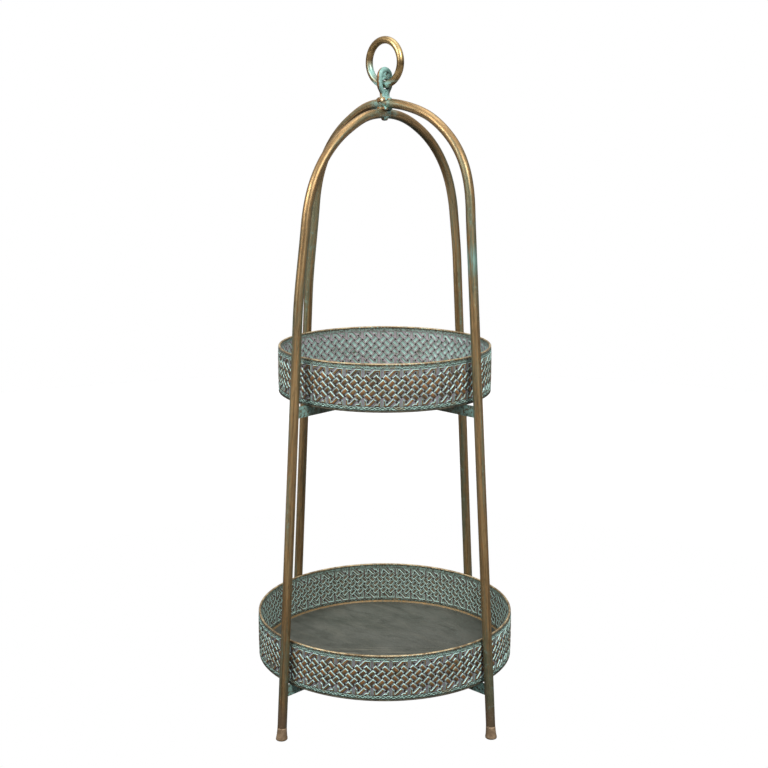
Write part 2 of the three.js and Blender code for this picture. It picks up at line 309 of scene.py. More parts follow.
def bronze_tube():
    """Brown bronze: brown and olive bands along the tube, fine streaks, verdigris round the crossing, painted
    shade below.
    """
    m = Finish("bronze_tube", 0.82)
    lane = m.attribute("lane", "Vector")
    band = m.noise(m.stretched(lane, (170, 7, 170)), 1.0, 3, 0.55)
    long_streak = m.noise(m.stretched(lane, (520, 16, 520)), 1.0, 5, 0.6)
    short_streak = m.noise(m.stretched(lane, (1100, 90, 1100)), 1.0, 4, 0.65)
    scurf = m.noise(m.place(), 130, 6, 0.7)
    base = m.mix(m.fit(long_streak, 0.35, 0.66), colour(112, 90, 60), colour(166, 138, 96))
    base = m.mix(m.fit(band, 0.47, 0.6, 0, 0.85), base, colour(118, 122, 98))
    base = m.mix(m.fit(short_streak, 0.55, 0.68, 0, 0.6), base, colour(172, 116, 64))
    base = m.mix(m.fit(short_streak, 0.44, 0.32, 0, 0.6), base, DARK_OLIVE)
    # Painted shade: dark olive on the faces that look downwards.
    base = m.mix(m.fit(m.upward(), -0.25, -0.75, 0, 0.6), base, DARK_OLIVE)
    base = m.mix(m.fit(m.height(), 0.042, 0.026, 0, 0.75), base, colour(136, 112, 88))
    frost = m.times(m.fit(scurf, 0.56, 0.68, 0, 0.55), m.fit(band, 0.5, 0.62))
    patch = m.times(m.near((0.117, -0.001, 0.500), 0.006, 0.019), m.fit(long_streak, 0.36, 0.5, 0, 0.85))
    green = m.times(m.near(CROSSING_PLACE, 0.006, 0.019), m.fit(scurf, 0.42, 0.56))
    base = m.mix(m.maths("MAXIMUM", m.maths("MAXIMUM", frost, green), patch), base, VERDIGRIS)
    rough = m.fit(m.noise(m.place(), 260, 4, 0.6), 0.3, 0.7, 0.36, 0.5)
    return m.finish(base, rough, (long_streak, 0.2, 0.4), (scurf, 0.25, 0.2))


def foot_bronze():
    """Plainer pinkish brown, with painted shade, dark olive, where the feet meet the floor."""
    m = Finish("foot_bronze", 0.4)
    blotch = m.noise(m.place(), 150, 4, 0.6)
    base = m.mix(m.fit(blotch, 0.35, 0.65), colour(116, 95, 72), colour(150, 127, 100))
    # Painted shade at the very bottom, where the foot meets the floor.
    base = m.mix(m.fit(m.height(), 0.0016, 0.0004, 0, 0.7), base, DARK_OLIVE)
    return m.finish(base, m.fit(blotch, 0.3, 0.7, 0.45, 0.65), (blotch, 0.3, 0.4))


def verdigris_metal():
    """Bronze under thick verdigris. Brown shows on one side of each strand; painted gold highlights sit on
    the welds.
    """
    m = Finish("verdigris_eye", 0.4)
    crust = m.noise(m.place(), 170, 5, 0.62, 0.5)
    grit = m.noise(m.place(), 700, 4, 0.7)
    facing_share = m.fit(m.facing(LEFT), 0.05, 0.7, -0.05, 0.33)
    low = m.fit(m.height(), 0.664, 0.656, 0, 0.1)
    cover = m.maths("SUBTRACT", crust, m.maths("ADD", facing_share, low))
    covered = m.fit(cover, 0.36, 0.46)
    base = m.mix(covered, colour(118, 88, 54), colour(116, 156, 148))
    base = m.mix(m.times(m.fit(grit, 0.5, 0.7, 0, 0.6), covered), base, PALE_VERDIGRIS)
    m.feed(m.shader.inputs["Metallic"], m.fit(covered, 0, 1, 0.7, 0.15))
    # Painted shadow: the far strand goes dark olive between the weld and the curl.
    far_strand_shade = m.times(m.fit(m.along("Y"), 0.0042, 0.0064), m.fit(m.height(), 0.6765, 0.673))
    far_strand_shade = m.times(far_strand_shade, m.fit(m.height(), 0.6585, 0.6615, 0, 0.85))
    base = m.mix(far_strand_shade, base, DARK_OLIVE)
    # Bare bronze where the crust on the welds is thin, painted pale gold as a highlight.
    weld_highlight = m.times(m.fit(crust, 0.46, 0.38), m.fit(m.height(), 0.663, 0.659))
    base = m.mix(weld_highlight, base, PALE_GOLD_HIGHLIGHT)
    # Painted shade: dark olive on the faces that look downwards.
    base = m.mix(m.fit(m.upward(), -0.1, -0.7, 0, 0.85), base, DARK_OLIVE)
    return m.finish(base, m.fit(crust, 0.35, 0.6, 0.3, 0.7), (crust, 0.5, 0.5), (grit, 0.35, 0.15))


def rim_brass():
    """The rim's bead: brown brass with a painted pale highlight on top, broken into patches, and specks of
    verdigris on its sides.
    """
    m = Finish("rim_brass", 0.55)
    stain = m.noise(m.place(), 110, 5, 0.65, 0.4)
    fine = m.noise(m.place(), 480, 4, 0.65)
    base = m.mix(m.fit(fine, 0.35, 0.65), colour(84, 66, 44), colour(128, 102, 70))
    # Painted highlight: pale gold on the upward faces, broken into patches by the stain noise.
    facing_share = m.times(m.fit(m.upward(), 0.1, 0.85), m.fit(stain, 0.42, 0.6, 0.1, 0.75))
    base = m.mix(facing_share, base, PALE_GOLD_HIGHLIGHT)
    specks = m.times(m.fit(fine, 0.52, 0.6, 0, 0.8), m.fit(m.upward(), 0.7, 0.2))
    base = m.mix(specks, base, VERDIGRIS)
    return m.finish(base, m.fit(stain, 0.3, 0.7, 0.34, 0.5), (stain, 0.2, 0.4), (fine, 0.3, 0.2))


def ring_bronze():
    """The lifting ring: brown bronze, a painted gold highlight high on one side, verdigris low on the inside
    of one flank.
    """
    m = Finish("ring_bronze", 0.85)
    stain = m.noise(m.place(), 90, 5, 0.6, 0.4)
    fine = m.noise(m.place(), 480, 4, 0.65)
    base = m.mix(m.fit(stain, 0.35, 0.65), colour(108, 86, 54), colour(152, 126, 84))
    base = m.mix(m.fit(fine, 0.56, 0.72, 0, 0.5), base, colour(96, 74, 46))
    # Painted highlight: pale gold on the upper part of the +X side.
    high_side_highlight = m.times(m.fit(m.along("X"), 0.002, 0.014), m.fit(m.height(), 0.690, 0.704))
    base = m.mix(m.times(high_side_highlight, m.fit(stain, 0.3, 0.5, 0.5, 1.0)), base, colour(182, 158, 110))
    green = m.times(m.fit(m.along("X"), -0.009, -0.019), m.fit(m.height(), 0.696, 0.684))
    green = m.times(green, m.fit(m.attribute("inward"), 0.0, 0.5))
    pool = m.times(m.fit(m.height(), 0.676, 0.672), m.fit(stain, 0.42, 0.52))
    crusted = m.maths("MAXIMUM", green, pool)
    base = m.mix(crusted, base, VERDIGRIS)
    m.feed(m.shader.inputs["Metallic"], m.fit(crusted, 0, 1, 0.85, 0.15))
    return m.finish(base, m.fit(stain, 0.3, 0.7, 0.28, 0.46), (stain, 0.25, 0.4), (fine, 0.25, 0.15))


def pressed_strip():
    """Basket-weave strip. relief is 0 on the web, 1 on the lozenges' tops and below 0 in the pits between
    them. band is 1 on the plain borders. frost is 0 outside and says how pale the inside has gone."""
    m = Finish("pressed_strip", 0.35)
    relief, band, frost = m.attribute("relief"), m.attribute("band"), m.attribute("frost")
    fine = m.noise(m.place(), 520, 5, 0.65)
    blotch = m.noise(m.place(), 95, 4, 0.55, 0.5)
    wear = m.noise(m.place(), 38, 4, 0.6, 0.5)
    level = m.maths("ADD", relief, m.fit(fine, 0.25, 0.75, -0.14, 0.14))
    brown = m.mix(m.fit(blotch, 0.38, 0.62), colour(76, 56, 34), colour(132, 92, 52))
    brown = m.mix(m.fit(m.noise(m.place(), 210, 3), 0.5, 0.66, 0, 0.6), brown, colour(98, 92, 62))
    brown = m.mix(m.fit(frost, 0.0, 0.05, 0, 0.6), brown, colour(64, 50, 36))
    brown = m.mix(m.times(frost, m.fit(blotch, 0.28, 0.5)), brown, colour(158, 190, 183))
    web = m.mix(m.fit(fine, 0.35, 0.65), LILAC_GREY, colour(112, 108, 110))
    web = m.mix(m.fit(wear, 0.54, 0.66, 0, 0.75), web, colour(84, 70, 48))
    # Painted light: the bevels pale verdigris where they face up and dark where they face down.
    edge = m.mix(m.fit(m.upward(), -0.4, 0.35), colour(78, 88, 78), PALE_VERDIGRIS)
    edge = m.mix(m.fit(wear, 0.52, 0.66, 0, 0.5), edge, colour(96, 104, 84))
    web = m.mix(m.times(frost, 0.7), web, colour(176, 166, 172))
    # Inside the lower tray the web is darker brown, and the bevels are brighter as a painted highlight.
    lower_inside = m.times(m.fit(frost, 0.02, 0.08), m.fit(frost, 0.6, 0.2))
    web = m.mix(m.times(lower_inside, 0.75), web, colour(82, 68, 54))
    edge = m.mix(m.times(lower_inside, 0.7), edge, colour(186, 226, 216))
    shaded = m.times(m.fit(frost, 0.1, 0.9), m.fit(m.facing((-0.6, -0.6, 0.5)), 0.75, 0.4))
    edge = m.mix(m.times(shaded, 0.85), edge, colour(84, 74, 54))
    base = m.mix(m.fit(level, 0.08, 0.26), web, edge)
    base = m.mix(m.fit(level, 0.82, 0.96), base, brown)
    # Painted shade: near black in the pits between the strands.
    base = m.mix(m.fit(level, -0.02, -0.18), base, PAINTED_SHADE_DARK)
    border = m.mix(m.fit(fine, 0.42, 0.58), colour(70, 70, 56), colour(126, 152, 142))
    base = m.mix(m.times(band, 0.9), base, border)
    crumbs = m.noise(m.place(), 1300, 3, 0.7)
    base = m.mix(m.fit(crumbs, 0.62, 0.72, 0, 0.5), base, VERDIGRIS)
    rough = m.fit(fine, 0.3, 0.7, 0.42, 0.66)
    return m.finish(base, rough, (fine, 0.3, 0.2), (crumbs, 0.2, 0.1))


def braid_verdigris():
    """Braided border: verdigris crests painted lighter where they face up, painted shade near black between
    the strands, brown blotches.
    """
    m = Finish("braid_verdigris", 0.3)
    fine = m.noise(m.place(), 600, 4, 0.65)
    blotch = m.noise(m.place(), 120, 4, 0.55)
    level = m.maths("ADD", m.attribute("relief"), m.fit(fine, 0.25, 0.75, -0.25, 0.25))
    # Painted light: crests lighter facing up and darker facing down, and painted shade, near black, between
    # the strands.
    crest = m.mix(m.fit(m.upward(), -0.4, 0.4), colour(88, 106, 96), colour(148, 182, 172))
    base = m.mix(m.fit(level, 0.42, 0.78), colour(48, 46, 36), crest)
    base = m.mix(m.fit(blotch, 0.54, 0.66, 0, 0.6), base, colour(118, 98, 66))
    return m.finish(base, m.fit(fine, 0.3, 0.7, 0.45, 0.65), (fine, 0.3, 0.15))


def hem_bronze():
    """The folded lower edge: dark bronze with a little verdigris."""
    m = Finish("tray_hem", 0.4)
    blotch = m.noise(m.place(), 200, 4, 0.6)
    base = m.mix(m.fit(blotch, 0.35, 0.65), colour(44, 42, 34), colour(86, 80, 62))
    base = m.mix(m.fit(blotch, 0.6, 0.7, 0, 0.5), base, colour(96, 122, 110))
    return m.finish(base, m.fit(blotch, 0.3, 0.7, 0.5, 0.7), (blotch, 0.3, 0.3))


def tray_floor():
    """Dull grey-green sheet with soft smudges, rubbed arcs near the rim and a brassy lip."""
    m = Finish("tray_floor", 0.45)
    cloud = m.noise(m.place(), 16, 4, 0.5, 0.8)
    smear = m.noise(m.stretched(m.place(), (26, 90, 40)), 1.0, 5, 0.6, 0.6)
    grain = m.noise(m.place(), 420, 4, 0.7)
    base = m.mix(m.fit(cloud, 0.34, 0.66), colour(70, 73, 65), colour(99, 100, 93))
    base = m.mix(m.fit(smear, 0.5, 0.72, 0, 0.5), base, colour(104, 103, 92))
    base = m.mix(m.fit(smear, 0.46, 0.3, 0, 0.6), base, colour(52, 54, 46))
    base = m.mix(m.fit(grain, 0.3, 0.7, 0, 0.2), base, colour(116, 118, 108))
    front, right = m.dot(m.place(), FRONT), m.dot(m.place(), RIGHT)
    rubs = m.add("CombineXYZ", {"X": m.times(front, 330.0), "Y": m.times(right, 13.0)}).outputs["Vector"]
    rubs = m.noise(rubs, 1.0, 4, 0.6, 0.4)
    pale_rubs = m.times(m.fit(rubs, 0.53, 0.66), m.fit(front, -0.004, 0.022, 0, 0.85))
    dark_rubs = m.times(m.fit(rubs, 0.44, 0.34), m.fit(front, -0.010, 0.016, 0, 0.75))
    base = m.mix(pale_rubs, base, colour(142, 138, 122))
    base = m.mix(dark_rubs, base, colour(44, 44, 38))
    # Painted shade: darker towards the right side of the floor.
    base = m.mix(m.fit(right, 0.02, 0.1, 0, 0.4), base, colour(58, 60, 54))
    lip = m.mix(m.fit(grain, 0.4, 0.6), colour(140, 112, 72), colour(112, 98, 72))
    base = m.mix(m.attribute("lip"), base, lip)
    rough = m.fit(smear, 0.3, 0.7, 0.42, 0.62)
    return m.finish(base, rough, (cloud, 0.15, 2.0), (smear, 0.2, 0.4), (grain, 0.25, 0.12))


def cross_bar():
    """Flat bars: dark bronze with verdigris along their outer ends and painted shade on their undersides."""
    m = Finish("cross_bar", 0.4)
    blotch = m.noise(m.place(), 70, 5, 0.6, 0.4)
    fine = m.noise(m.place(), 420, 4, 0.65)
    base = m.mix(m.fit(blotch, 0.35, 0.65), colour(60, 58, 44), colour(98, 84, 58))
    base = m.mix(m.times(m.fit(fine, 0.45, 0.65), m.fit(blotch, 0.45, 0.6)), base, colour(112, 140, 126))
    flat = m.stretched(m.place(), (1.0, 1.0, 0.0))
    reach = m.add("VectorMath", {0: flat}, operation="LENGTH").outputs["Value"]
    ends = m.times(m.fit(reach, 0.096, 0.118, 0.25, 0.9), m.fit(fine, 0.38, 0.54))
    base = m.mix(ends, base, VERDIGRIS)
    # Painted shade: near black on the faces that look downwards.
    base = m.mix(m.fit(m.upward(), -0.4, -0.9, 0, 0.9), base, PAINTED_SHADE_DARK)
    return m.finish(base, m.fit(fine, 0.3, 0.7, 0.45, 0.7), (blotch, 0.3, 0.5), (fine, 0.3, 0.2))


tube_finish = bronze_tube()
foot_finish = foot_bronze()
eye_finish = verdigris_metal()
rim_finish = rim_brass()
ring_finish = ring_bronze()
strip_finish = pressed_strip()
braid_finish = braid_verdigris()
hem_finish = hem_bronze()
floor_finish = tray_floor()
bar_finish = cross_bar()


def settle(obj, body, slot, *nodes):
    """Rides obj on its body and hides the CAD nodes that it stands for. slot is not used."""
    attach(obj, body)
    if nodes:
        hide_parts(*nodes)


# --- arches ---------------------------------------------------------------------------------------
def ease(value, low, high):
    """0 below low, 1 above high, with a smooth start and end between them."""
    share = np.clip((value - low) / (high - low), 0, 1)
    return share * share * (3 - 2 * share)


def arch_axis(name):
    """Points along an arch's axis from its + foot to its - foot, as (distance out, height), with tangents."""
    top = ARCH_TOPS[name]
    lean = math.atan(LEG_LEAN)
    radius = (LEG_FOOT_RADIUS - LEG_LEAN * top) / (math.hypot(1, LEG_LEAN) - LEG_LEAN)
    centre = top - radius
    bend_start = np.array([radius * math.cos(lean), centre + radius * math.sin(lean)])
    foot_end = np.array([LEG_FOOT_RADIUS - LEG_LEAN * TUBE_END, TUBE_END])
    leg = foot_end + np.linspace(0, 1, LEG_STEPS, endpoint=False)[:, None] * (bend_start - foot_end)
    turn = np.linspace(lean, math.pi - lean, BEND_STEPS)
    bend = np.stack([radius * np.cos(turn), centre + radius * np.sin(turn)], 1)
    line = np.concatenate([leg, bend, leg[::-1] * [-1, 1]])
    away = ease(np.abs(line[:, 0] - CROSSINGS[name]), TRUE_NEAR_CROSSING, FULL_FROM_CROSSING)
    for side, (amount, low, high) in STRAY[name].items():
        on_side = np.sign(line[:, 0]) == side
        line[on_side, 0] += (amount * ease(line[:, 1], low, high) * away)[on_side]
    tangent = np.gradient(line, axis=0)
    tangent /= np.linalg.norm(tangent, axis=1)[:, None]
    return line, tangent


def arch(name, direction, shift, seed):
    """One bent tube with the slight waves and dents of its surface."""
    line, tangent = arch_axis(name)
    out, across = np.array([*direction, 0.0]), np.array([-direction[1], direction[0], 0.0])
    upward = np.array([0, 0, 1.0])
    centres = line[:, :1] * out + line[:, 1:] * upward + np.array([*shift, 0.0])
    inward = -tangent[:, 1:] * out + tangent[:, :1] * upward
    sides = 40
    along = np.linspace(0, 1, len(line))[:, None]
    around = (np.arange(sides) / sides)[None, :]
    dents = np.random.default_rng(seed).normal(0, 0.03, (len(line), sides))
    dents = (dents + np.roll(dents, 1, 0) + np.roll(dents, 1, 1) + np.roll(dents, -1, 1)) / 2
    radius = TUBE_RADIUS - SKIN + wobble(along + 0 * around, UNEVENNESS, 22, seed) + DENT * dents
    tube = sweep(name + "_tube", centres, across, inward, radius, tube_finish)
    settle(tube, "frame", "bronze_tube", name)


arch("upper_arch", (1.0, 0.0), (0, ARCH_OFFSET), 3)
arch("lower_arch", (0.0, 1.0), (-ARCH_OFFSET, 0), 4)


def foot(name, out, shift):
    """A flared foot: level rings about the leaning leg, with a rounded lower edge."""
    profile = [(0.0, 0.0), (4.9, 0.0), (5.7, 0.14), (6.08, 0.55), (6.18, 1.2), (6.08, 2.1), (5.86, 3.1),
               (5.62, 4.6), (5.4, 6.6), (5.2, 9.0), (5.05, 11.6), (4.94, 13.4), (4.5, 13.6)]
    sides = 40
    points = turned_points(profile, sides)
    reach = LEG_FOOT_RADIUS - LEG_LEAN * points[:, 2:]
    points[:, :2] += reach * out + shift
    obj = make_mesh(name + "_flare", points, capped_faces(len(profile), sides), foot_finish)
    weld_points(obj, 0.001)
    settle(obj, "frame", "foot_bronze", name)


foot("foot_cap_front_right", (1, 0), (0, ARCH_OFFSET))
foot("foot_cap_back_left", (-1, 0), (0, ARCH_OFFSET))
foot("foot_cap_back_right", (0, 1), (-ARCH_OFFSET, 0))
foot("foot_cap_front_left", (0, -1), (-ARCH_OFFSET, 0))

# --- basket weave ---------------------------------------------------------------------------------
# Pattern units: x runs over one unit of two strand pitches, and y runs down it, both in pitches.
HALF_WIDTH, HALF_LENGTH = 0.1985, 0.3015  # of a lozenge, along each axis of its diagonal
FIRST_ROW, LAST_LINE = 0.825, 3.65
BORDER = 0.22  # the plain borders start this far above the pattern's first line and below its last
WEB_INSET, BEVEL = 0.045, 0.075
PIT_HALF, PIT_FLOOR_SHARE, PIT_DEPTH = 0.155, 0.72, 0.4


def lozenge(x, y, falls):
    """Corners of a woven strand's visible length. falls is 1 if it falls to the right and -1 if it rises."""
    long, wide = np.array([HALF_LENGTH, HALF_LENGTH * falls]), np.array([HALF_WIDTH, -HALF_WIDTH * falls])
    middle = np.array([x, y])
    corners = [middle - long - wide, middle - long + wide, middle + long + wide, middle + long - wide]
    return np.array(corners if falls > 0 else corners[::-1])


def inset(polygon, distance):
    """The polygon with every side moved inwards by distance."""
    polygon = np.asarray(polygon, float)
    ahead = np.roll(polygon, -1, 0)
    sign = 1 if np.sum(polygon[:, 0] * ahead[:, 1] - ahead[:, 0] * polygon[:, 1]) > 0 else -1
    edges = ahead - polygon
    edges /= np.linalg.norm(edges, axis=1)[:, None]
    normals = sign * np.stack([-edges[:, 1], edges[:, 0]], 1)
    result = []
    for i in range(len(polygon)):
        n0, n1 = normals[i - 1], normals[i]
        bisector = (n0 + n1) / (1 + np.dot(n0, n1))
        result.append(polygon[i] + distance * bisector)
    return np.array(result)


def lozenges():
    """Every lozenge of one unit, some of them shared with the neighbours."""
    shapes = []
    for k in range(-1, 4):
        shapes += [lozenge(k + 0.5, FIRST_ROW + row, 1) for row in range(3)]
        shapes += [lozenge(k, FIRST_ROW + 0.5 + row, -1) for row in range(2)]
    return shapes


def turning_strands():
    """The longer shapes at the top, where strands turn back, and the same turned round at the bottom."""
    corner = np.array([(0.10, -0.17), (1.05, -0.17), (0.72, 0.15), (0.47, 0.15), (0.47, 0.24), (0.10, 0.60)])
    hook = np.array([(0.53, 0.49), (1.19, -0.17), (1.92, -0.17), (1.92, 0.82), (1.56, 0.46), (1.56, 0.15),
                     (1.50, 0.15), (0.88, 0.77)])
    end = np.array([2, LAST_LINE])
    return [corner, end - corner, hook, end - hook]


def pits():
    """Deep diamonds between the strands: the rim of each, then its bottom."""
    spots = [(k, FIRST_ROW + row) for k in range(3) for row in range(3)]
    spots += [(k + 0.5, FIRST_ROW + 0.5 + row) for k in range(2) for row in range(2)]
    spots += [(x, FIRST_ROW + row) for row in (-0.5, 2.5) for x in (0.5, 1.5)]
    diamond = PIT_HALF * np.array([(1, 0), (0, 1), (-1, 0), (0, -1)])
    return [s + diamond for s in np.array(spots)], [s + PIT_FLOOR_SHARE * diamond for s in np.array(spots)]


def depth_inside(points, polygon):
    """How far each point lies inside the polygon, and 0 outside it."""
    ends = np.roll(polygon, -1, 0)
    edge = ends - polygon
    rel = points[:, None, :] - polygon[None]
    share = np.clip((rel * edge).sum(2) / (edge * edge).sum(1), 0, 1)
    gap = np.linalg.norm(rel - share[:, :, None] * edge, axis=2).min(1)
    x, y = points[:, 0:1], points[:, 1:2]
    crosses = (polygon[:, 1] > y) != (ends[:, 1] > y)
    with np.errstate(divide="ignore", invalid="ignore"):
        at = polygon[:, 0] + (y - polygon[:, 1]) * edge[:, 0] / edge[:, 1]
    inside = (crosses & (x < at)).sum(1) % 2 == 1
    return np.where(inside, gap, 0)


def weave_tile(top_line, bottom_line):
    """One unit of the strip, flat: points, triangles, relief of each point. Lines are in pitches."""
    shapes = lozenges() + turning_strands()
    outlines = [inset(s, WEB_INSET) for s in shapes]
    tops = [inset(s, WEB_INSET + BEVEL) for s in shapes]
    pit_rims, pit_floors = pits()
    points, edges = [], []

    def outline(polygon):
        start = len(points)
        points.extend(map(tuple, polygon))
        edges.extend((start + i, start + (i + 1) % len(polygon)) for i in range(len(polygon)))

    for polygon in outlines + tops + pit_rims + pit_floors:
        outline(polygon)
    for x in (0, 2):
        start = len(points)
        points.extend([(x, top_line), (x, bottom_line)])
        edges.append((start, start + 1))
    for y in (top_line, bottom_line, -BORDER, LAST_LINE + BORDER):
        start = len(points)
        points.extend([(-1, y), (3, y)])
        edges.append((start, start + 1))
    for x in np.arange(1, 8) / 4:
        points.extend([(x, top_line), (x, bottom_line)])
    for top in tops[:len(lozenges())]:  # a crown along the middle of each lozenge
        middle = top.mean(0)
        points.append(tuple(middle))
        for corner in (top[0] + top[1], top[2] + top[3]):
            points.append(tuple(middle * 0.45 + corner / 2 * 0.55))
    flat, _, triangles, _, _, _ = delaunay_2d_cdt([Vector(p) for p in points], edges, [], 0, 1e-5)
    flat = np.array([tuple(p) for p in flat])
    triangles = np.array([t for t in triangles if len(t) == 3])
    centre = flat[triangles].mean(1)
    keep = (centre[:, 0] > 0) & (centre[:, 0] < 2) & (centre[:, 1] > top_line) & (centre[:, 1] < bottom_line)
    triangles = triangles[keep]
    used, triangles = np.unique(triangles, return_inverse=True)
    triangles = triangles.reshape(-1, 3)
    flat = flat[used]
    relief = np.zeros(len(flat))
    for polygon in outlines:
        depth = depth_inside(flat, polygon)
        relief = np.maximum(relief, np.minimum(depth / BEVEL, 1) + 0.9 * np.clip(depth - BEVEL, 0, 0.2))
    for polygon in pit_floors:
        close = np.abs(flat - polygon.mean(0)).sum(1) < PIT_FLOOR_SHARE * PIT_HALF + 1e-4
        relief[close & (relief < 0.02)] = -PIT_DEPTH
    return flat, triangles, relief


def rim_edges(triangles):
    """Edges that belong to one triangle only, in that triangle's order."""
    seen = {}
    for t in triangles:
        for a, b in ((t[0], t[1]), (t[1], t[2]), (t[2], t[0])):
            seen[(int(a), int(b))] = True
    return [(a, b) for a, b in seen if (b, a) not in seen]


def gallery(tray_name, tray):
    """The pressed strip of one tray, as two half turns that meet at its soldered seams."""
    base = tray["top"] - TRAY_HEIGHT
    middle = base + FIELD_MIDDLE
    top_line = (middle - (base + STRIP_TOP)) / ROW_PITCH + LAST_LINE / 2
    bottom_line = (middle - (base + STRIP_BOTTOM)) / ROW_PITCH + LAST_LINE / 2
    flat, triangles, relief = weave_tile(top_line, bottom_line)
    on_side = (flat[:, 0] < 1e-4) | (flat[:, 0] > 2 - 1e-4)
    edges = [(a, b) for a, b in rim_edges(triangles) if not (on_side[a] and on_side[b])]
    height = middle + (LAST_LINE / 2 - flat[:, 1]) * ROW_PITCH
    band = np.abs(flat[:, 1] - LAST_LINE / 2) > LAST_LINE / 2 + BORDER - 1e-4
    count = len(flat)
    outer = tray["rim"] + OUTER_WEB + OUTER_RELIEF * relief
    inner = tray["rim"] + INNER_WEB + INNER_RECESS * relief
    units = tray["units"]
    halves = [range(units // 2), range(units // 2, units)]
    for h, members in enumerate(halves):
        points, faces, frosts = [], [], []
        for i, unit in enumerate(members):
            turn = math.radians(tray["seam"]) + 2 * math.pi * (unit + flat[:, 0] / 2) / units
            for radius, frost in ((outer, 0.0), (inner, tray["frost"])):
                points.append(np.stack([radius * np.cos(turn), radius * np.sin(turn), height], 1))
                frosts.append(np.full(count, frost))
            start = 2 * i * count
            faces.extend((triangles[:, ::-1] + start).tolist())
            faces.extend((triangles + start + count).tolist())
            faces.extend([start + a, start + b, start + count + b, start + count + a] for a, b in edges)
        sheets = len(points)
        obj = make_mesh(f"{tray_name}_weave_{h + 1}", np.concatenate(points), faces, strip_finish,
                        smooth=False, relief=np.tile(relief, sheets), band=np.tile(band, sheets),
                        frost=np.concatenate(frosts))
        weld_points(obj, 0.004)
        obj.data.shade_smooth()
        obj.data.set_sharp_from_angle(angle=math.radians(50))
        settle(obj, "frame", "pressed_strip", *([f"{tray_name}_gallery"] if h == 0 else []))


def braid(name, tray, shape):
    """Two strands that weave over and under each other round the outside of the strip."""
    base = tray["top"] - TRAY_HEIGHT
    waves = round(2 * math.pi * tray["rim"] / shape["wave"])
    steps, sides = waves * 14, 8
    turn, around = circle(steps), circle(sides)
    reach_middle = tray["rim"] - BRAID_INSET - shape["strand"] - BRAID_LIFT
    points, faces, relief = [], [], []
    for strand in (0, 1):
        phase = waves * turn + math.pi * strand
        swing = (shape["half"] - shape["strand"]) * np.sin(phase)
        lift = BRAID_LIFT * np.sin(2 * phase + math.pi / 2 + math.pi * strand)
        reach = (reach_middle + lift)[:, None] + shape["strand"] * np.cos(around)
        height = base + shape["height"] + swing[:, None] + shape["strand"] * np.sin(around)
        x, y = reach * np.cos(turn)[:, None], reach * np.sin(turn)[:, None]
        points.append(np.stack([x, y, height], 2).reshape(-1, 3))
        faces.append(grid_faces(steps, sides, wrap_rows=True)[:, ::-1] + strand * steps * sides)
        relief.append(np.tile(np.clip(np.cos(around), 0, 1), steps) * np.repeat(0.8 + lift, sides))
    obj = make_mesh(name, np.concatenate(points), np.concatenate(faces), braid_finish,
                    relief=np.concatenate(relief))
    settle(obj, "frame", "pressed_strip")


def rim_wire(tray_name, tray):
    """The bead round the rim: drawn wire with the slight waves of handwork."""
    steps, sides = 320, 16
    share, turn = np.arange(steps) / steps, circle(steps)
    reach = tray["rim"] - RIM_WIRE_RADIUS - BEAD_INSET + wobble(share, 0.04, 9, 5)
    height = tray["top"] - BEAD_RADIUS - BEAD_DROP + wobble(share, 0.07, 8, 6)
    centres = np.stack([reach * np.cos(turn), reach * np.sin(turn), height], 1)
    out = np.stack([np.cos(turn), np.sin(turn), 0 * turn], 1)
    radius = BEAD_RADIUS + wobble(share, 0.03, 24, 7)[:, None] + np.zeros((steps, sides))
    upward = np.array([0, 0, 1.0])
    obj = sweep(tray_name + "_rim_bead", centres, out, upward, radius, rim_finish, closed=True)
    settle(obj, "frame", "rim_brass", tray_name + "_rim_wire")


def hem(tray_name, tray):
    """The folded lower edge of the tray."""
    base, rim = tray["top"] - TRAY_HEIGHT, tray["rim"]
    folded = [(1.65, 1.5), (1.65, 0.25), (1.4, 0.05), (0.6, 0.03), (0.2, 0.3), (0.1, 0.8), (0.22, 1.3),
              (0.7, 1.55)]
    profile = [(rim - inwards, base + height) for inwards, height in folded]
    sides = 240
    faces = grid_faces(len(profile), sides, wrap_rows=True)
    obj = make_mesh(tray_name + "_hem", turned_points(profile, sides), faces, hem_finish)
    settle(obj, "frame", "tray_hem", tray_name + "_base_ring")


def pan(tray_name, tray):
    """The tray's floor: thin sheet, not quite flat, turned up into a narrow lip."""
    base = tray["top"] - TRAY_HEIGHT
    edge = tray["rim"] - PAN_INSET
    inner = np.linspace(0.4, edge - LIP_WIDTH, 40)
    turned_up = [(edge - inwards, base + height) for inwards, height in (
        (2.0, 1.05), (1.3, 1.35), (0.95, 1.9), (0.9, 2.6), (0.7, 2.9), (0.35, 2.95), (0.08, 2.7), (0, 2.2),
        (0, 0.5), (0.4, 0.05))]
    profile = np.array([(r, base + 1.0) for r in inner] + turned_up + [(r, base + 0.02) for r in inner[::-1]])
    sides = 144
    points = turned_points(profile, sides).reshape(len(profile), sides, 3)
    x, y = points[:, :, 0], points[:, :, 1]
    local = np.random.default_rng(tray["seed"])
    swell = np.zeros_like(x)
    for _ in range(14):
        k, a, p = local.uniform(0.015, 0.07), local.uniform(0, 2 * math.pi), local.uniform(0, 2 * math.pi)
        swell += np.sin(k * (x * math.cos(a) + y * math.sin(a)) + p)
    fade = np.clip((inner[-1] - inner[:, None]) / FADE_WIDTH, 0, 1)
    points[:len(inner), :, 2] += (SWELL * swell[:len(inner)] - SAG) * fade
    lip = np.zeros((len(profile), sides))
    lip[len(inner) + 1:len(inner) + 8] = 1
    faces = capped_faces(len(profile), sides)
    obj = make_mesh(tray_name + "_floor", points.reshape(-1, 3), faces, floor_finish, lip=lip.ravel())
    settle(obj, "frame", "tray_floor", tray_name + "_pan")


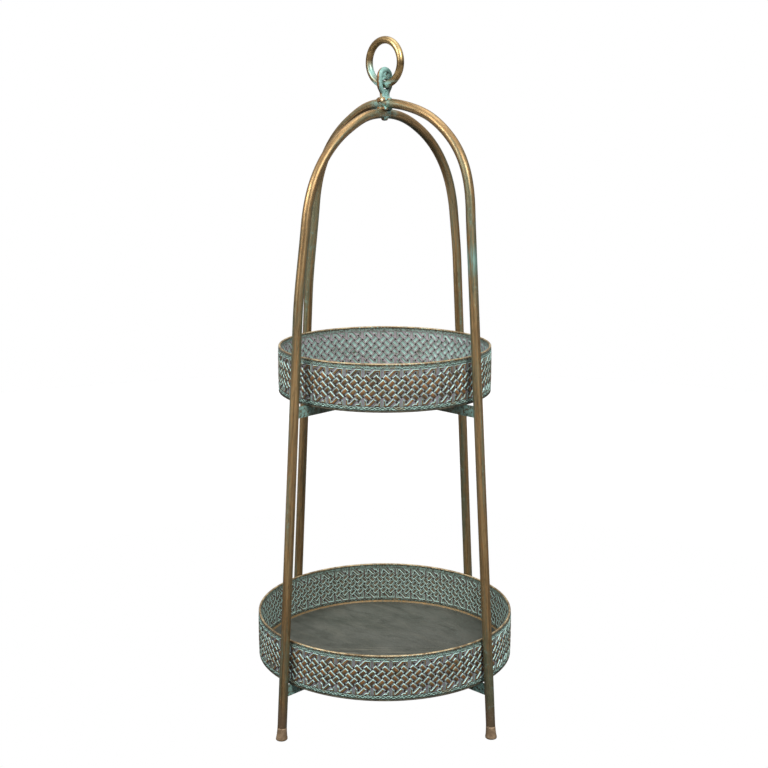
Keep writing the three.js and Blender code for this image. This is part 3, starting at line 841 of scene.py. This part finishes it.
for tray_name, tray in TRAYS.items():
    gallery(tray_name, tray)
    braid(tray_name + "_braid_top", tray, TOP_BRAID)
    braid(tray_name + "_braid_bottom", tray, BOTTOM_BRAID)
    rim_wire(tray_name, tray)
    hem(tray_name, tray)
    pan(tray_name, tray)


# --- cross bars -----------------------------------------------------------------------------------
BROKEN_EDGE = 0.35


def cross_bar_edges(node_name):
    """Keeps the CAD's own bar and breaks its edges."""
    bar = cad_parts[node_name]
    bar.data.materials.clear()
    bar.data.materials.append(bar_finish)
    modify(bar, "BEVEL", width=BROKEN_EDGE * MM, segments=2, limit_method="ANGLE")


for tray_name in TRAYS:
    for axis in "xy":
        cross_bar_edges(f"{tray_name}_cross_bar_{axis}")

# --- eye, welds, nut and ring ---------------------------------------------------------------------
STEM = np.array([-ARCH_OFFSET, ARCH_OFFSET, 0.0])  # where the stud's axis meets the floor
WIRE_AXIS, SADDLE_REACH = 670.9, 6.3  # the ring's wire turns inside a saddle of weld
RING_RADIUS, RING_WIRE, RING_MIDDLE = 22.2, 3.85, 693.1
RING_INSET, RING_SKIN = 0.05, 0.08
FUSE_GRAIN = 0.36


def smooth_line(points, steps):
    """A Catmull-Rom curve through points, at even distances."""
    p = np.asarray(points, float)
    p = np.concatenate([[2 * p[0] - p[1]], p, [2 * p[-1] - p[-2]]])
    fine = []
    for i in range(1, len(p) - 2):
        t = np.linspace(0, 1, 16, endpoint=False)[:, None]
        a, b, c, d = p[i - 1:i + 3]
        square, cube = 2 * a - 5 * b + 4 * c - d, 3 * b - a - 3 * c + d
        fine.append(0.5 * (2 * b + (c - a) * t + square * t ** 2 + cube * t ** 3))
    fine = np.concatenate([*fine, p[-2:-1]])
    gone = np.concatenate([[0], np.cumsum(np.linalg.norm(np.diff(fine, axis=0), axis=1))])
    even = np.linspace(0, gone[-1], steps)
    return np.stack([np.interp(even, gone, fine[:, k]) for k in range(fine.shape[1])], 1)


def blob(centre, size, seed):
    """A lumpy bead of weld, as points and faces."""
    rows, columns = 10, 16
    polar = np.linspace(0.05, math.pi - 0.05, rows)[:, None]
    turn = circle(columns)[None]
    lump = 1 + wobble(turn / (2 * math.pi) + 0 * polar, 0.05, 4, seed) + 0.04 * np.sin(5 * polar + seed)
    x, y, z = np.sin(polar) * np.cos(turn) * lump, np.sin(polar) * np.sin(turn) * lump, np.cos(polar) * lump
    points = np.stack([x, y, z], 2).reshape(-1, 3) * size + centre
    return points, [f[::-1] for f in capped_faces(rows, columns)]


def fused(name, parts):
    """Parts that cross each other, grown into one smooth body of the eye's metal."""
    points, faces, start = [], [], 0
    for part_points, part_faces in parts:
        points.append(np.asarray(part_points))
        faces += [[i + start for i in f] for f in part_faces]
        start += len(part_points)
    obj = make_mesh(name, np.concatenate(points), faces, eye_finish)
    modify(obj, "REMESH", mode="VOXEL", voxel_size=FUSE_GRAIN * MM, use_smooth_shade=True)
    modify(obj, "SMOOTH", factor=0.5, iterations=3)
    bake_modifiers(obj)
    obj.data.shade_smooth()
    return obj


def rod(line, radius, sides=20):
    """A rod bent in the YZ plane, as points and faces."""
    tangent = np.gradient(line, axis=0)
    tangent /= np.linalg.norm(tangent, axis=1)[:, None]
    normal = np.cross(tangent, [1.0, 0, 0])
    cosine, sine = np.cos(circle(sides))[None, :, None], np.sin(circle(sides))[None, :, None]
    ring = cosine * np.array([1.0, 0, 0]) + sine * normal[:, None, :]
    return (line[:, None, :] + radius * ring).reshape(-1, 3), capped_faces(len(line), sides)


def weld_beads(beads, first_seed):
    """Blobs from (x, y, height, sizes), placed from the stud's axis."""
    return [blob(STEM + (x, y, z), np.array(sizes), first_seed + i)
            for i, (x, y, z, sizes) in enumerate(beads)]


def eye():
    """The rod bent double, its end curled in over the ring, and the weld that holds it."""
    half = [(3.1, 656.6), (3.15, 660.0), (3.5, 663.0), (7.1, 669.0), (7.45, 673.5)]
    crown = [(7.4 * math.cos(math.pi * i / 8), 678.1 + 7.4 * math.sin(math.pi * i / 8)) for i in range(9)]
    loop = np.array([(0.0, y, z) for y, z in half + crown + [(-y, z) for y, z in half[::-1]]]) + STEM
    inner_end = [(5.2, 683.6), (5.0, 680.2), (3.0, 678.0), (0.4, 677.9), (-1.6, 679.6), (-1.2, 681.8),
                 (0.8, 682.2)]
    curl = np.array([(0.0, y, z) for y, z in inner_end]) + STEM
    saddle = [(0, SADDLE_REACH * math.sin(lean), WIRE_AXIS + SADDLE_REACH * math.cos(lean), (2.3, 1.9, 1.9))
              for lean in np.radians([-42, -25, -8, 8, 25, 42])]
    web = [(0, 0, 664.5, (2.3, 3.6, 1.9))]
    collar = [(0, 0, 657.4, (5.2, 5.6, 2.8)), (-5.6, -2.0, 656.2, (3.2, 2.6, 1.8)),
              (5.4, 0.4, 656.6, (3.2, 3.0, 1.7)), (-3.4, 3.0, 656.0, (2.6, 2.4, 2.1)),
              (3.6, -3.4, 655.8, (2.9, 2.3, 2.2)), (0.0, -4.6, 654.8, (3.2, 1.5, 2.6)),
              (-4.2, -4.2, 654.2, (2.4, 1.4, 2.0)), (-8.0, -1.2, 656.0, (1.8, 2.2, 1.3)),
              (8.0, -1.6, 655.9, (1.9, 2.1, 1.3)), (2.0, 4.4, 655.0, (2.8, 1.5, 2.3)),
              (0.0, 0.5, 660.8, (3.3, 4.6, 1.8))]
    rods = [rod(smooth_line(loop, 90), 2.9), rod(smooth_line(curl, 40), 2.3)]
    parts = rods + weld_beads(saddle, 50) + weld_beads(web, 60) + weld_beads(collar, 0)
    settle(fused("eye_with_weld", parts), "frame", "verdigris_eye", "top_eye")


def crossing_weld():
    """The seam of weld between the two arches."""
    beads = [(-3.5, -3.6, 646.7, (3.1, 3.0, 2.2)), (3.8, -3.7, 646.5, (3.5, 3.2, 2.5)),
             (-3.5, 3.5, 646.8, (3.0, 3.1, 2.1)), (3.6, 3.6, 646.7, (3.1, 3.0, 2.2)),
             (0, -4.6, 646.3, (3.4, 2.3, 2.1)), (4.6, 0, 646.9, (2.4, 3.4, 2.0)),
             (0, 4.4, 646.4, (3.0, 2.0, 1.9)), (-4.4, 0, 646.8, (2.2, 3.0, 1.8)),
             (0, 0, 646.75, (4.6, 4.6, 0.9))]
    settle(fused("crossing_weld", weld_beads(beads, 30)), "frame", "verdigris_eye")


def nut_dome():
    """The domed nut under the lower arch."""
    profile = [(0.05, 634.2), (1.4, 634.3), (2.5, 634.65), (3.25, 635.3), (3.7, 636.1), (3.85, 637.0),
               (4.1, 638.0), (4.6, 639.0)]
    sides = 32
    points = turned_points(profile, sides) + STEM
    nut = make_mesh("eye_nut_dome", points, capped_faces(len(profile), sides), eye_finish)
    settle(nut, "frame", "verdigris_eye", "eye_cap_nut")


def lifting_ring():
    """The plain round ring, which hangs on the eye and moves."""
    steps, sides = 160, 32
    share, turn = np.arange(steps) / steps, circle(steps)
    out = np.stack([np.cos(turn), 0 * turn, np.sin(turn)], 1)
    reach = RING_RADIUS - RING_INSET + wobble(share, 0.07, 5, 40)
    wire = RING_WIRE - RING_SKIN + wobble(share, 0.04, 14, 41)[:, None] + np.zeros((steps, sides))
    centres = STEM + (0, 0, RING_MIDDLE) + reach[:, None] * out
    ring = sweep("lifting_ring", centres, out, np.array([0, 1.0, 0]), wire, ring_finish, closed=True)
    inward = np.tile(-np.cos(circle(sides)), steps).astype(np.float32)
    ring.data.attributes.new("inward", "FLOAT", "POINT").data.foreach_set("value", inward)
    settle(ring, "ring", "ring_bronze", "hanging_ring")


eye()
crossing_weld()
nut_dome()
lifting_ring()


# --- floor, light and camera ----------------------------------------------------------------------
def studio_floor():
    """Matt white card that thins out far from the stand, so that it has no edge or horizon."""
    m = Finish("studio_floor", 0.0, 0.2)
    cloud = m.noise(m.place(), 3, 3)
    base = m.mix(m.fit(cloud, 0.3, 0.7), colour(242, 242, 242), colour(246, 246, 246))
    material = m.finish(base, 0.9)
    clear = m.add("BsdfTransparent")
    blend = m.add("MixShader", {0: m.near((0.0, 0.0, 0.0), 1.7, 0.7)})
    m.feed(blend.inputs[1], clear.outputs[0])
    m.feed(blend.inputs[2], m.shader.outputs[0])
    m.feed(m.tree.nodes["Material Output"].inputs["Surface"], blend.outputs[0])
    return material


GROUND_RADII, GROUND_SIDES, GROUND_DROP = (0.1, 400, 1000, 1800), 96, 0.05
ground_points = turned_points([(radius, -GROUND_DROP) for radius in GROUND_RADII], GROUND_SIDES)
ground_faces = grid_faces(len(GROUND_RADII), GROUND_SIDES)
make_mesh("ground", ground_points, ground_faces, studio_floor(), smooth=False)


def studio_world():
    """White to the eye. As light it is bright overhead and dim low down, so the tubes get dark edges."""
    world = bpy.data.worlds.new("studio")
    bpy.context.scene.world = world
    world.use_nodes = True
    nodes, links = world.node_tree.nodes, world.node_tree.links
    split, ramp = nodes.new("ShaderNodeSeparateXYZ"), nodes.new("ShaderNodeValToRGB")
    links.new(nodes.new("ShaderNodeTexCoord").outputs["Generated"], split.inputs[0])
    links.new(split.outputs["Z"], ramp.inputs["Fac"])
    stops = ramp.color_ramp.elements
    stops[0].position, stops[0].color = 0.0, (0.13, 0.13, 0.135, 1)
    stops[1].position, stops[1].color = 0.8, (0.95, 0.95, 0.95, 1)
    pick = nodes.new("ShaderNodeMix")
    pick.data_type = "RGBA"
    links.new(nodes.new("ShaderNodeLightPath").outputs["Is Camera Ray"], pick.inputs[0])
    links.new(ramp.outputs["Color"], pick.inputs[6])
    pick.inputs[7].default_value = (1, 1, 1, 1)
    links.new(pick.outputs[2], nodes["Background"].inputs["Color"])


studio_world()
AIM = (0, 0, 0.4)


def softbox(name, place, size, power):
    """A round soft lamp that shines on the middle of the stand. Places are in metres."""
    light = bpy.data.lights.new(name, "AREA")
    light.shape, light.size, light.energy = "DISK", size, power
    obj = bpy.data.objects.new(name, light)
    obj.location = place
    obj.rotation_euler = (Vector(AIM) - place).to_track_quat("-Z", "Y").to_euler()
    bpy.context.scene.collection.objects.link(obj)


# Where the photograph was taken from: the bearing, the distance and the height in metres, and the tilt.
CAMERA_TURN = math.radians(44.0)
CAMERA_REACH, CAMERA_HEIGHT, CAMERA_PITCH = 1.4166, 0.65797, math.radians(11.97)
toward = Vector((math.sin(CAMERA_TURN), -math.cos(CAMERA_TURN), 0))
beside = Vector((math.cos(CAMERA_TURN), math.sin(CAMERA_TURN), 0))
softbox("right_box", toward * 1.8 + beside * 1.0 + Vector((0, 0, 1.8)), 0.8, 56)
softbox("left_box", toward * 1.0 - beside * 1.7 + Vector((0, 0, 1.5)), 0.8, 36)
softbox("top_box", Vector((0, 0, 2.4)) - toward * 0.3, 1.6, 17)

camera = bpy.data.cameras.new("camera")
camera.lens, camera.sensor_width = 63.41, 36
camera.shift_x = -0.001
camera.clip_start, camera.clip_end = 0.05, 50
camera_object = bpy.data.objects.new("camera", camera)
camera_object.location = toward * CAMERA_REACH + Vector((0, 0, CAMERA_HEIGHT))
camera_object.rotation_euler = (math.pi / 2 - CAMERA_PITCH, 0, CAMERA_TURN)
bpy.context.scene.collection.objects.link(camera_object)
bpy.context.scene.camera = camera_object
bpy.context.scene.view_settings.view_transform = "Standard"
